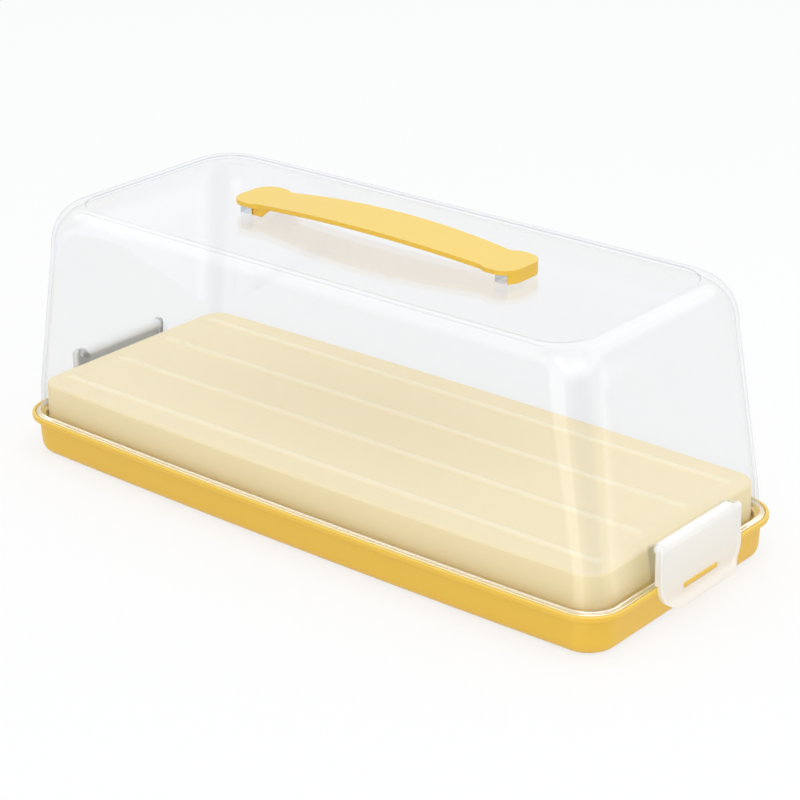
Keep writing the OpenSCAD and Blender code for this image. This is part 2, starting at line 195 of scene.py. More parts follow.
# Studio: the sky's light, the floor's own share of white, and soft boxes that only gloss shows: a
# ring between two elevations, given by their sines, and tall ones by azimuth, half width and light
SKY_LIGHT = 0.87
FLOOR_GLOW = 0.75
FLOOR_HALF = 6.0
RING_BOX_LOW, RING_BOX_HIGH, RING_BOX_LIGHT = (0.42, 0.52), (0.90, 0.80), 0.9
TALL_BOXES = ((6, 20, 1.0), (134, 4, 0.8))
TALL_BOX_SOFT = 3

# Lamps: name, place, target and size in metres, watts, and whether gloss mirrors them
LAMPS = (("overhead", (0.6, -0.3, 1.7), (0, 0, 0), (1.6, 1.6), 9, True),
         ("front_fill", (1.0, -1.2, 0.45), (0, 0, 0.05), (1.6, 0.8), 2.5, False))

# Colours, in linear light. Of two tones the first is on faces that look sideways, or in the dips
# of a slow drift, and the second on faces that look up, as painted light from above, or in its
# peaks.
YELLOW_TONES = (0.79, 0.49, 0.042), (0.80, 0.58, 0.12)
PALE_TONES = (0.90, 0.73, 0.38), (0.88, 0.75, 0.48)
# Painted highlight along the tops of the platform's ribs
RIB_HIGHLIGHT_TONE = (0.95, 0.84, 0.60)
FROSTED_FACE_TONES = (0.77, 0.76, 0.715), (0.81, 0.80, 0.765)
# Painted light: the clip's walls and barrel are made paler to lift their shade
FROSTED_WALL_PAINTED_LIGHT_TONE = (0.95, 0.95, 0.94)
FROSTED_PASS = (0.985, 0.98, 0.96)
CLEAR_GLOSS = (0.97, 0.975, 0.98)
CLEAR_TINT = (0.977, 0.981, 0.986)
CLEAR_CORNER_SHADE_TINT = (0.945, 0.953, 0.966)
# Painted shade where the lid is seen edge on and along its top's step
CLEAR_EDGE_SHADE_TINT = (0.68, 0.71, 0.76)
CLEAR_PASS = (0.975, 0.98, 0.985)
FLOOR_TONES = (0.875, 0.885, 0.90), (0.885, 0.895, 0.91)

# Shares of light that clear plastic mirrors: seen square on and edge on, and on the lid's flange,
# where the raised share is a painted highlight
CLEAR_MIRROR = (0.036, 0.9)
FLANGE_PAINTED_HIGHLIGHT = 0.45
PLASTIC_IOR = 1.49

# Mesh resolution
CORNER_STEPS = 14
SIDE_STEPS = 40
END_STEPS = 16
FILLET_STEPS = 5
SHOULDER_STEPS = 18
WALL_STEPS = 6
RIB_RING_PITCH = 0.75
RIB_RINGS_END = 12.5
STRAP_PITCH = 1.5
STRAP_STEPS = 49
STRAP_ROWS = 12
SKIRT_STEPS = 10
TRUNNION_STEPS = 32

# Columns of a clip's grid: over half the slot, from there to a fixed line, and on to the edge
SLOT_COLUMNS, FACE_COLUMNS, EDGE_COLUMNS = 12, 5, 16
EDGE_LINE_Y = 19.0
CLIP_ROW_PITCH = 0.8
CLIP_ROWS = 22


def add_camera():
    azimuth, elevation, roll = (math.radians(a) for a in (AZIMUTH, ELEVATION, ROLL))
    back = Vector((math.sin(azimuth) * math.cos(elevation),
                   -math.cos(azimuth) * math.cos(elevation), math.sin(elevation)))
    right = Vector((math.cos(azimuth), math.sin(azimuth), 0))
    up = back.cross(right)
    place = Vector((0, 0, AIM[2])) + back * DISTANCE + right * AIM[0] + up * AIM[1]
    camera = bpy.data.objects.new("camera", bpy.data.cameras.new("camera"))
    bpy.context.collection.objects.link(camera)
    turned_right = math.cos(roll) * right + math.sin(roll) * up
    turned_up = -math.sin(roll) * right + math.cos(roll) * up
    turn = Matrix((turned_right, turned_up, back)).transposed().to_4x4()
    camera.matrix_world = Matrix.Translation(place * MM) @ turn
    camera.data.sensor_width = SENSOR
    camera.data.lens = SENSOR * FOCAL_PIXELS / PHOTO_PIXELS
    camera.data.clip_start = 0.05
    bpy.context.scene.camera = camera


# Outlines and lofts

def angles(first, last, step):
    """Angles in whole degrees, both ends included, as radians."""
    return [math.radians(a) for a in range(first, last + 1, step)]


def arc(middle_x, middle_z, radius, turns):
    return [(middle_x + radius * math.cos(a), middle_z + radius * math.sin(a)) for a in turns]


def eased(u):
    """A value held between 0 and 1, with a gentle start and end."""
    u = max(0.0, min(1.0, u))
    return u * u * (3 - 2 * u)


def outline(length, width, radius, z, bow):
    """A rounded rectangle whose long sides bow out in the middle, anticlockwise from +X."""
    half_l, half_w = length / 2, width / 2
    points = []
    for quarter in range(4):
        sx = 1 if quarter in (0, 3) else -1
        sy = 1 if quarter < 2 else -1
        for k in range(CORNER_STEPS + 1):
            a = math.radians(90 * (quarter + k / CORNER_STEPS))
            points.append((sx * (half_l - radius) + radius * math.cos(a),
                           sy * (half_w - radius) + radius * math.sin(a)))
        steps = SIDE_STEPS if quarter in (0, 2) else END_STEPS
        for k in range(1, steps):
            u = 1 - 2 * k / steps
            if quarter in (0, 2):
                points.append((sx * (half_l - radius) * u, sy * half_w))
            else:
                points.append((sx * half_l, sy * (half_w - radius) * u))
    return [(x, y - bow * (x / half_l) ** 2 * max(-1, min(1, y / (half_w - radius))), z)
            for x, y in points]


def rim_ring(inset, z):
    radius = max(INNER_MIN_R, RIM_R - inset)
    return outline(RIM_L - 2 * inset, RIM_W - 2 * inset, radius, z, SIDE_BOW)


def lid_ring(end_in, side_in, radius, z, bow):
    return outline(RIM_L - 2 * end_in, RIM_W - 2 * side_in, radius, z, bow)


def lid_wall_ring(z, t):
    """A ring of the lid's leaning wall, at a depth t in the plastic."""
    u = (z - RIM_TOP) / WALL_H
    return lid_ring(WALL_IN + END_LEAN * (z - RIM_TOP) + t, WALL_IN + SIDE_LEAN * (z - RIM_TOP) + t,
                    LID_FOOT_R + (LID_SHOULDER_R - LID_FOOT_R) * u - t, z,
                    SIDE_BOW + (TOP_BOW - SIDE_BOW) * u)


def lid_shoulder_ring(angle, t):
    """A ring of the lid's rounded shoulder, at a depth t in the plastic."""
    draw = 1 - math.cos(angle)
    top = PANEL_Z - t if t else LID_TOP
    return lid_ring(WALL_IN + END_LEAN * WALL_H + SHOULDER_END_IN * draw + t,
                    WALL_IN + SIDE_LEAN * WALL_H + SHOULDER_SIDE_IN * draw + t,
                    LID_SHOULDER_R + (LID_TOP_R - LID_SHOULDER_R) * draw - t,
                    SHOULDER_Z + (top - SHOULDER_Z) * math.sin(angle), TOP_BOW)


def lid_panel_ring(inset, z):
    return lid_ring(WALL_IN + END_LEAN * WALL_H + SHOULDER_END_IN + inset,
                    WALL_IN + SIDE_LEAN * WALL_H + SHOULDER_SIDE_IN + inset,
                    LID_TOP_R - inset, z, TOP_BOW)


def filleted(corners, steps=FILLET_STEPS):
    """An open path in a plane through (a, b, radius) corners, each one rounded by its radius."""
    path = [Vector(corners[0][:2])]
    for before, corner, after in zip(corners, corners[1:], corners[2:]):
        place, radius = Vector(corner[:2]), corner[2]
        back, ahead = Vector(before[:2]) - place, Vector(after[:2]) - place
        half = back.angle(ahead) / 2
        if radius <= 0 or half > math.radians(89):
            path.append(place)
            continue
        reach = min(radius / math.tan(half), 0.49 * back.length, 0.49 * ahead.length)
        start, end = place + back.normalized() * reach, place + ahead.normalized() * reach
        inward = (back.normalized() + ahead.normalized()).normalized()
        middle = place + inward * (reach / math.cos(half))
        first, last = start - middle, end - middle
        turn = first.angle_signed(last)
        for k in range(steps + 1):
            a = -turn * k / steps
            path.append(middle + Vector((first.x * math.cos(a) - first.y * math.sin(a),
                                         first.x * math.sin(a) + first.y * math.cos(a))))
    path.append(Vector(corners[-1][:2]))
    return [tuple(p) for p in path]


def loft(rings):
    """Verts and faces of a closed skin through the rings, with a flat cap on both ends."""
    n = len(rings[0])
    verts = [p for ring in rings for p in ring]
    faces = [(k * n + i, k * n + (i + 1) % n, (k + 1) * n + (i + 1) % n, (k + 1) * n + i)
             for k in range(len(rings) - 1) for i in range(n)]
    faces.append(tuple(range(n)))
    faces.append(tuple((len(rings) - 1) * n + i for i in range(n)))
    return verts, faces


def box_mesh(low, high):
    xs, ys, zs = ((min(a, b), max(a, b)) for a, b in zip(low, high))
    verts = [(x, y, z) for z in zs for y in ys for x in xs]
    faces = [(0, 1, 3, 2), (4, 5, 7, 6), (0, 1, 5, 4), (2, 3, 7, 6), (0, 2, 6, 4), (1, 3, 7, 5)]
    return verts, faces


def prism(outline_xz, y0, y1):
    """Verts and faces of an outline in X and Z, swept from y0 to y1."""
    n = len(outline_xz)
    verts = [(x, y0, z) for x, z in outline_xz] + [(x, y1, z) for x, z in outline_xz]
    faces = [(i, (i + 1) % n, n + (i + 1) % n, n + i) for i in range(n)]
    faces += [tuple(range(n)), tuple(range(n, 2 * n))]
    return verts, faces


def make_piece(name, verts, faces, material, smooth_angle=32):
    """A mesh object from points in millimetres, with soft edges below the given angle."""
    mesh = bpy.data.meshes.new(name)
    mesh.from_pydata([Vector(v) * MM for v in verts], [], faces)
    shell = bmesh.new()
    shell.from_mesh(mesh)
    bmesh.ops.recalc_face_normals(shell, faces=shell.faces)
    shell.to_mesh(mesh)
    shell.free()
    mesh.shade_smooth()
    mesh.set_sharp_from_angle(angle=math.radians(smooth_angle))
    mesh.materials.append(material)
    piece = bpy.data.objects.new(name, mesh)
    bpy.context.collection.objects.link(piece)
    return piece


def add_bevel(piece, width, segments=3, angle=40):
    bevel = piece.modifiers.new("bevel", "BEVEL")
    bevel.width = width * MM
    bevel.segments = segments
    bevel.limit_method = "ANGLE"
    bevel.angle_limit = math.radians(angle)
    bevel.harden_normals = True
    bevel.miter_outer = "MITER_ARC"


def finish_piece(piece, body, node):
    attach(piece, body)
    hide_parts(node)


# Parts of materials

def new_material(name):
    material = bpy.data.materials.new(name)
    material.use_nodes = True
    nodes, links = material.node_tree.nodes, material.node_tree.links
    return material, nodes, links, nodes["Principled BSDF"]


def add_noise(nodes, links, scale, detail):
    """Noise in the object's own coordinates, scaled in waves per metre."""
    coordinates = nodes.new("ShaderNodeTexCoord")
    noise = nodes.new("ShaderNodeTexNoise")
    noise.inputs["Scale"].default_value = scale
    noise.inputs["Detail"].default_value = detail
    links.new(coordinates.outputs["Object"], noise.inputs["Vector"])
    return noise.outputs["Fac"]


def split_xyz(nodes, links, vector):
    split = nodes.new("ShaderNodeSeparateXYZ")
    links.new(vector, split.inputs["Vector"])
    return split.outputs


def place_xyz(nodes, links):
    """X, Y and Z of a point of the surface in the object's own coordinates, in metres."""
    return split_xyz(nodes, links, nodes.new("ShaderNodeTexCoord").outputs["Object"])


def normal_xyz(nodes, links):
    return split_xyz(nodes, links, nodes.new("ShaderNodeNewGeometry").outputs["Normal"])


def spread(nodes, links, value, low, high):
    """Maps a 0 to 1 value to the range low to high."""
    ramp = nodes.new("ShaderNodeMapRange")
    ramp.inputs["To Min"].default_value = low
    ramp.inputs["To Max"].default_value = high
    links.new(value, ramp.inputs["Value"])
    return ramp.outputs["Result"]


def smooth_step(nodes, links, value, low, high, top=1.0):
    """0 below low, rising to top above high."""
    step = nodes.new("ShaderNodeMapRange")
    step.interpolation_type = "SMOOTHSTEP"
    step.inputs["From Min"].default_value = low
    step.inputs["From Max"].default_value = high
    step.inputs["To Max"].default_value = top
    links.new(value, step.inputs["Value"])
    return step.outputs["Result"]


def computed(nodes, links, operation, *values):
    """A Math node's result. Each value is a number or a socket."""
    math_node = nodes.new("ShaderNodeMath")
    math_node.operation = operation
    for value, socket in zip(values, math_node.inputs):
        if isinstance(value, (int, float)):
            socket.default_value = value
        else:
            links.new(value, socket)
    return math_node.outputs[0]


def mixed(nodes, links, value, first, second):
    """A colour between two others, chosen by a 0 to 1 value. Each is three numbers or a socket."""
    mix = nodes.new("ShaderNodeMix")
    mix.data_type = "RGBA"
    for colour, socket in ((first, mix.inputs["A"]), (second, mix.inputs["B"])):
        if isinstance(colour, tuple):
            socket.default_value = (*colour, 1)
        else:
            links.new(colour, socket)
    links.new(value, mix.inputs["Factor"])
    return mix.outputs["Result"]


def mixed_shader(nodes, links, share, first, second):
    mix = nodes.new("ShaderNodeMixShader")
    links.new(share, mix.inputs["Fac"])
    links.new(first, mix.inputs[1])
    links.new(second, mix.inputs[2])
    return mix.outputs[0]


def bumped(nodes, links, height, distance, strength, shader):
    bump = nodes.new("ShaderNodeBump")
    bump.inputs["Distance"].default_value = distance * MM
    bump.inputs["Strength"].default_value = strength
    links.new(height, bump.inputs["Height"])
    links.new(bump.outputs["Normal"], shader.inputs["Normal"])


def painted_top_light(nodes, links, value, weight):
    """Adds to a 0 to 1 value where the surface faces up: painted light, paler tops as light from
    above makes them.
    """
    share = spread(nodes, links, normal_xyz(nodes, links)["Z"], 0, weight)
    return computed(nodes, links, "ADD", share, spread(nodes, links, value, 0, 1 - weight))


def let_light_through(nodes, links, surface, colour):
    """Lamps and soft light pass the surface, dimmed to the given colour."""
    path = nodes.new("ShaderNodeLightPath")
    lit = nodes.new("ShaderNodeBsdfTransparent")
    lit.inputs["Color"].default_value = (*colour, 1)
    either = computed(nodes, links, "MAXIMUM",
                      path.outputs["Is Shadow Ray"], path.outputs["Is Diffuse Ray"])
    links.new(mixed_shader(nodes, links, either, surface, lit.outputs[0]),
              nodes["Material Output"].inputs["Surface"])


def painted_corner_shade(nodes, links):
    """1 where an upright wall turns its corner, where painted shade stands in for clear plastic
    bending away what is behind it.
    """
    normal = normal_xyz(nodes, links)
    turned = computed(nodes, links, "MULTIPLY", normal["X"], normal["Y"])
    turned = smooth_step(nodes, links, computed(nodes, links, "ABSOLUTE", turned), 0.25, 0.44)
    endward = computed(nodes, links, "ABSOLUTE", normal["X"])
    return computed(nodes, links, "MULTIPLY", turned, smooth_step(nodes, links, endward, 0.5, 0.75))


def panel_step_painted_shade(nodes, links):
    """Above 0 on the low step round the lid's flat top, which is painted as a thin grey line of
    shade.
    """
    height = place_xyz(nodes, links)["Z"]
    high = smooth_step(nodes, links, height, (PANEL_Z + 0.05) * MM, (PANEL_Z + 0.2) * MM, 0.7)
    level = computed(nodes, links, "ABSOLUTE", normal_xyz(nodes, links)["Z"])
    sloped = spread(nodes, links, smooth_step(nodes, links, level, 0.85, 0.95), 1, 0)
    return computed(nodes, links, "MULTIPLY", high, sloped)


def painted_flange_highlight(nodes, links):
    """Mirror share of the lid's flange: a painted highlight along its edges, standing in for the
    light that the walls guide down.
    """
    height = place_xyz(nodes, links)["Z"]
    above = smooth_step(nodes, links, height, (RIM_TOP + 0.1) * MM, (RIM_TOP + 0.9) * MM)
    return spread(nodes, links, above, FLANGE_PAINTED_HIGHLIGHT, 0)


# Materials

def moulded_plastic(name, tones, roughness, subsurface):
    """Moulded plastic: slow drifts in tone, painted light that makes it paler where it faces up,
    uneven gloss and a grain.
    """
    material, nodes, links, shader = new_material(name)
    cloud = add_noise(nodes, links, scale=18, detail=2)
    # painted light: faces that look up take the paler tone
    cloud = painted_top_light(nodes, links, cloud, weight=0.88)
    links.new(mixed(nodes, links, cloud, *tones), shader.inputs["Base Color"])
    sheen = add_noise(nodes, links, scale=90, detail=4)
    sheen = spread(nodes, links, sheen, roughness - 0.05, roughness + 0.05)
    links.new(sheen, shader.inputs["Roughness"])
    grain = add_noise(nodes, links, scale=2600, detail=2)
    bumped(nodes, links, grain, distance=0.02, strength=0.35, shader=shader)
    shader.inputs["IOR"].default_value = PLASTIC_IOR
    shader.inputs["Subsurface Weight"].default_value = subsurface
    shader.inputs["Subsurface Radius"].default_value = (1.0, 0.7, 0.35)
    shader.inputs["Subsurface Scale"].default_value = 2.5 * MM
    return material


def ribbed_plastic(name, tones, roughness, subsurface, rib_highlight):
    """Moulded plastic, lightened along the platform's ribs, whose tops get a painted highlight
    colour.
    """
    material = moulded_plastic(name, tones, roughness, subsurface)
    nodes, links = material.node_tree.nodes, material.node_tree.links
    colour = nodes["Principled BSDF"].inputs["Base Color"]
    place = place_xyz(nodes, links)
    fold = computed(nodes, links, "PINGPONG", place["Y"], RIB_PITCH / 2 * MM)
    low, high = ((RIB_PITCH / 2 - RIB_W / 2 * share) * MM for share in (1.0, 0.5))
    on_rib = smooth_step(nodes, links, fold, low, high, 0.75)
    low, high = (PLATFORM_TOP - 0.1) * MM, (PLATFORM_TOP + RIB_H) * MM
    raised = smooth_step(nodes, links, place["Z"], low, high)
    share = computed(nodes, links, "MULTIPLY", on_rib, raised)
    # painted highlight: the ribs' tops take the paler colour
    links.new(mixed(nodes, links, share, colour.links[0].from_socket, rib_highlight), colour)
    return material


def clear_plastic(name):
    """Clear moulded plastic as a skin: it tints what is behind it, greys with painted shade where it
    is seen edge on and along the top's step, and mirrors the room by a share that grows as steeply
    towards the edges as Fresnel's does."""
    material, nodes, links, shader = new_material(name)
    shader.inputs["Base Color"].default_value = (*CLEAR_GLOSS, 1)
    shader.inputs["Metallic"].default_value = 1.0
    sheen = add_noise(nodes, links, scale=40, detail=3)
    links.new(spread(nodes, links, sheen, 0.05, 0.10), shader.inputs["Roughness"])
    wave = add_noise(nodes, links, scale=22, detail=1)
    bumped(nodes, links, wave, distance=0.15, strength=0.3, shader=shader)
    weight = nodes.new("ShaderNodeLayerWeight")
    weight.inputs["Blend"].default_value = 0.5
    facing = weight.outputs["Facing"]
    # painted shade: grey where the lid is seen edge on and on its top's step
    edge = computed(nodes, links, "MAXIMUM", smooth_step(nodes, links, facing, 0.72, 1.0),
                    panel_step_painted_shade(nodes, links))
    # painted shade: the lid's upright corners are tinted darker
    tint = mixed(nodes, links, painted_corner_shade(nodes, links), CLEAR_TINT, CLEAR_CORNER_SHADE_TINT)
    through = nodes.new("ShaderNodeBsdfTransparent")
    links.new(mixed(nodes, links, edge, tint, CLEAR_EDGE_SHADE_TINT), through.inputs["Color"])
    mirror = spread(nodes, links, computed(nodes, links, "POWER", facing, 5), *CLEAR_MIRROR)
    # painted highlight: the flange mirrors more of the white room than the walls
    mirror = computed(nodes, links, "MAXIMUM", mirror, painted_flange_highlight(nodes, links))
    skin = mixed_shader(nodes, links, mirror, through.outputs[0], shader.outputs[0])
    let_light_through(nodes, links, skin, CLEAR_PASS)
    return material


def frosted_plastic(name):
    """Natural milky plastic: light scatters inside it. Its walls and barrel are painted whiter than
    the satin face, painted light that lifts the shade they sit in."""
    material, nodes, links, shader = new_material(name)
    out = computed(nodes, links, "ABSOLUTE", place_xyz(nodes, links)["X"])
    on_face = smooth_step(nodes, links, out, (PLATE_IN_X + 0.2) * MM, (PLATE_IN_X + 1.4) * MM)
    cloud = add_noise(nodes, links, scale=60, detail=3)
    face_tone = mixed(nodes, links, cloud, *FROSTED_FACE_TONES)
    # painted light: walls and barrel take the paler tone, the face its own
    links.new(mixed(nodes, links, on_face, FROSTED_WALL_PAINTED_LIGHT_TONE, face_tone),
              shader.inputs["Base Color"])
    sheen = add_noise(nodes, links, scale=200, detail=3)
    links.new(spread(nodes, links, sheen, 0.28, 0.40), shader.inputs["Roughness"])
    grain = add_noise(nodes, links, scale=1800, detail=2)
    bumped(nodes, links, grain, distance=0.02, strength=0.3, shader=shader)
    shader.inputs["IOR"].default_value = PLASTIC_IOR
    shader.inputs["Subsurface Weight"].default_value = 0.9
    shader.inputs["Subsurface Radius"].default_value = (1.0, 1.0, 0.95)
    shader.inputs["Subsurface Scale"].default_value = 6.0 * MM
    let_light_through(nodes, links, shader.outputs[0], FROSTED_PASS)
    return material


# Tray and serving platform. A profile's corners are (inset, height, radius).

def build_tray(material):
    wall_in = RIM_OUT + TRAY_WALL
    bottom_in = RIM_OUT + TRAY_DRAFT
    ledge_in = WALL_IN + LID_T + LEDGE_MARGIN
    path = filleted([
        (bottom_in + 2 * TRAY_EDGE_R, 0, 0), (bottom_in, 0, TRAY_EDGE_R),
        (RIM_OUT, RIM_FOOT, 0.5), (0, RIM_FOOT, 1.1), (0, RIM_TOP, 1.4), (RIM_LIP_W, RIM_TOP, 0.35),
        (RIM_LIP_W, LEDGE_Z, 0.2), (ledge_in, LEDGE_Z, 0.3), (ledge_in, LEDGE_Z - LEDGE_T, 0.3),
        (wall_in, LEDGE_Z - LEDGE_T - (ledge_in - wall_in), 0.5),
        (wall_in + TRAY_DRAFT / 2, TRAY_FLOOR, TRAY_FLOOR_R),
        (wall_in + TRAY_CAP_IN, TRAY_FLOOR, 0)])
    verts, faces = loft([rim_ring(inset, z) for inset, z in path])
    piece = make_piece("tray_shell", verts, faces, material)
    finish_piece(piece, "tray", "tray")
    half = SLOT_L / 2 - SLOT_GAP
    for side, name in ((-1, "left"), (1, "right")):
        lug = make_piece("catch_lug_" + name, *box_mesh(
            (side * (RIM_L / 2 - RIM_OUT - LUG_BITE), -half, SLOT_Z[0] + SLOT_GAP),
            (side * PLATE_OUT_X, half, SLOT_Z[1] - SLOT_GAP)), material)
        add_bevel(lug, 0.4)
        finish_piece(lug, "tray", "tray")


def rib_height(x, y):
    """Height of the platform's ribs above its top face."""
    end = RIM_L / 2 - PLATFORM_IN - PLATFORM_EDGE_R - RIB_END_L
    nearest = min(abs(y - rib_y) for rib_y in RIB_YS)
    along, across = (end - abs(x)) / RIB_END_L, (RIB_W / 2 - nearest) / (RIB_W / 4)
    return RIB_H * eased(along) * eased(across)


def build_platform(material):
    foot_in = RIM_OUT + TRAY_WALL + TRAY_DRAFT / 2 + PLATFORM_FOOT_IN + PLATFORM_FOOT_GAP
    under = PLATFORM_TOP - PLATFORM_T
    path = filleted([
        (PLATFORM_IN + PLATFORM_T + PLATFORM_CAP_IN, under, 0),
        (PLATFORM_IN + PLATFORM_T, under, 1),
        (foot_in + PLATFORM_T, TRAY_FLOOR, 0.3), (foot_in, TRAY_FLOOR, 0.3),
        (PLATFORM_IN, PLATFORM_TOP, PLATFORM_EDGE_R),
        (PLATFORM_IN + PLATFORM_BORDER, PLATFORM_TOP, 0)])
    rings = [rim_ring(inset, z) for inset, z in path]
    inset = PLATFORM_IN + PLATFORM_BORDER
    while inset < RIM_W / 2 - RIB_RINGS_END:
        inset += RIB_RING_PITCH
        rings.append([(x, y, z + rib_height(x, y)) for x, y, z in rim_ring(inset, PLATFORM_TOP)])
    piece = make_piece("platform_shell", *loft(rings), material)
    finish_piece(piece, "tray", "serving_platform")


# Lid

def build_lid(material):
    shoulder = [math.pi / 2 * k / SHOULDER_STEPS for k in range(1, SHOULDER_STEPS + 1)]
    wall = [SHOULDER_Z - WALL_H * k / WALL_STEPS for k in range(WALL_STEPS)]
    above = RIM_TOP + 4
    foot = filleted([(WALL_IN + LID_T, above, 0), (WALL_IN + LID_T, LEDGE_Z, 0.5),
                     (FLANGE_IN, LEDGE_Z, 0.4), (FLANGE_IN, RIM_TOP, 0.5), (WALL_IN, RIM_TOP, 0.5),
                     (WALL_IN, above, 0)])
    panel = filleted([(0, LID_TOP, 0), (PANEL_EDGE_W, LID_TOP, 0.5),
                      (PANEL_EDGE_W + PANEL_STEP, PANEL_Z, 0.5),
                      (PANEL_EDGE_W + PANEL_CAP_IN, PANEL_Z, 0)], 3)
    rings = [lid_shoulder_ring(angle, LID_T) for angle in reversed(shoulder)]
    rings += [lid_wall_ring(z, LID_T) for z in wall]
    rings += [rim_ring(inset, z) for inset, z in foot[1:-1]]
    rings += [lid_wall_ring(z, 0) for z in reversed(wall)]
    rings += [lid_shoulder_ring(angle, 0) for angle in shoulder]
    rings += [lid_panel_ring(inset, z) for inset, z in panel[1:]]
    piece = make_piece("lid_shell", *loft(rings), material)
    finish_piece(piece, "lid", "lid")
    for end, name in ((-1, "left"), (1, "right")):
        for side, place in ((-1, "front"), (1, "back")):
            cheek = make_piece("clip_cheek_%s_%s" % (name, place), *cheek_mesh(end, side), material)
            add_bevel(cheek, 0.3)
            finish_piece(cheek, "lid", "lid")
        middle_x = HANDLE_X + end * POST_X
        post = make_piece("handle_post_" + name, *box_mesh(
            (middle_x - POST_L / 2, -POST_W / 2, PANEL_Z),
            (middle_x + POST_L / 2, POST_W / 2, POST_TOP)), material)
        add_bevel(post, 0.5)
        finish_piece(post, "lid", "lid")


def cheek_mesh(end, side):
    """A cheek beside a clip's barrel, round about the hinge axis, sloping down behind it."""
    front_x = HINGE_X + EAR_R
    flange_x = RIM_L / 2 - FLANGE_IN - CHEEK_FOOT_IN
    root_x = RIM_L / 2 - WALL_IN - CHEEK_BITE
    step_z = RIM_TOP + 2 * SEAT_GAP
    back_z = HINGE_Z + EAR_R - CHEEK_BACK_DROP
    foot = [(root_x, RIM_TOP, 0), (flange_x, RIM_TOP, 0), (flange_x, step_z, 0.4),
            (front_x, step_z + front_x - flange_x, 0.8), (front_x, HINGE_Z - 1, 0)]
    turn = arc(HINGE_X, HINGE_Z, EAR_R, angles(0, 90, 10))
    back = [(root_x - END_LEAN * (back_z - RIM_TOP), back_z)]
    outline_xz = [(end * x, z) for x, z in filleted(foot) + turn + back]
    return prism(outline_xz, side * CHEEK_Y, side * (CHEEK_Y + CHEEK_T))


# Handle

def strap_half_width(x):
    """Half width of the handle seen from above, its rounded ends included."""
    ax = abs(x)
    bulge = 1 - (min(ax, NECK_X) / NECK_X) ** 2
    strap = (HANDLE_NECK_W + (HANDLE_MID_W - HANDLE_NECK_W) * bulge) / 2
    start = NECK_X + PAD_FLARE_GAP
    if ax < start:
        return strap
    pad = HANDLE_PAD_W / 2
    reach = ax - (HANDLE_L / 2 - PAD_R)
    if reach > 0:
        pad -= PAD_R - math.sqrt(max(0.0, PAD_R ** 2 - reach ** 2))
    return min(strap + eased((ax - start) / PAD_FLARE_L) * (HANDLE_PAD_W / 2 - strap), pad)


def strap_top(x):
    return PAD_TOP + STRAP_RISE * max(0.0, 1 - (x / NECK_X) ** 2)


def strap_mesh():
    """The strap with its end pads: one grid of points for its top, one for its underside."""
    ends = [HANDLE_L / 2 - PAD_R + PAD_R * math.sin(a) for a in angles(0, 90, 9)]
    middle = [HANDLE_L / 2 - PAD_R - STRAP_PITCH * k for k in range(1, STRAP_STEPS + 1)]
    half = sorted(ends + middle)
    xs = [-x for x in reversed(half)] + [0.0] + half
    verts, faces = [], []
    for under in (0, STRAP_T):
        for x in xs:
            w = strap_half_width(x)
            verts += [(HANDLE_X + x, w * (2 * j / STRAP_ROWS - 1), strap_top(x) - under)
                      for j in range(STRAP_ROWS + 1)]
    n, layer = STRAP_ROWS + 1, len(xs) * (STRAP_ROWS + 1)
    for i in range(len(xs) - 1):
        for j in range(STRAP_ROWS):
            a = i * n + j
            faces.append((a, a + n, a + n + 1, a + 1))
            faces.append((layer + a, layer + a + 1, layer + a + n + 1, layer + a + n))
        for j in (0, STRAP_ROWS):
            a = i * n + j
            faces.append((a, a + n, layer + a + n, layer + a))
    for i in (0, len(xs) - 1):
        for j in range(STRAP_ROWS):
            a = i * n + j
            faces.append((a, a + 1, layer + a + 1, layer + a))
    return verts, faces


def skirt_mesh():
    """The wall round the +X end of the handle, following its rounded outline."""
    start = POST_X + POST_L / 2 + POST_FOOT_GAP
    arc_x, arc_y = HANDLE_L / 2 - PAD_R, HANDLE_PAD_W / 2 - PAD_R
    first = math.asin((start - arc_x) / PAD_R)
    turns = [first + (math.pi / 2 - first) * k / SKIRT_STEPS for k in range(SKIRT_STEPS + 1)]
    outer, inner = [], []
    for side in (-1, 1):
        for a in turns if side < 0 else reversed(turns):
            for path, r in ((outer, PAD_R - SKIRT_INSET), (inner, PAD_R - SKIRT_T)):
                path.append((HANDLE_X + arc_x + r * math.sin(a), side * (arc_y + r * math.cos(a))))
    loop = outer + inner[::-1]
    n = len(loop)
    verts = [(x, y, z) for z in (FOOT_Z, FOOT_TOP) for x, y in loop]
    faces = [(i, (i + 1) % n, n + (i + 1) % n, n + i) for i in range(n)]
    for low in (0, n):
        faces += [(low + i, low + i + 1, low + n - 2 - i, low + n - 1 - i)
                  for i in range(len(outer) - 1)]
    return verts, faces


def foot_meshes():
    """The cross wall and the two sloping ribs of the foot beside the -X post."""
    foot_x = HANDLE_X - POST_X + POST_L / 2 + POST_FOOT_GAP
    half = HANDLE_NECK_W / 2 - FOOT_SIDE_IN
    section = [(foot_x, FOOT_Z), (foot_x + FOOT_L, FOOT_Z),
               (foot_x + FOOT_L + FOOT_FLARE, FOOT_TOP), (foot_x, FOOT_TOP)]
    yield "wall", box_mesh((foot_x, -half, FOOT_Z), (foot_x + SKIRT_T, half, FOOT_TOP))
    yield "front", prism(section, -half, -half + SKIRT_T)
    yield "back", prism(section, half - SKIRT_T, half)


def build_handle(material):
    strap = make_piece("handle_strap", *strap_mesh(), material)
    add_bevel(strap, 1.0, 4)
    finish_piece(strap, "lid", "handle")
    skirt = make_piece("handle_end_skirt", *skirt_mesh(), material)
    add_bevel(skirt, 0.4)
    finish_piece(skirt, "lid", "handle")
    for name, mesh in foot_meshes():
        foot = make_piece("handle_foot_" + name, *mesh, material)
        add_bevel(foot, 0.35)
        finish_piece(foot, "lid", "handle")


# Clips

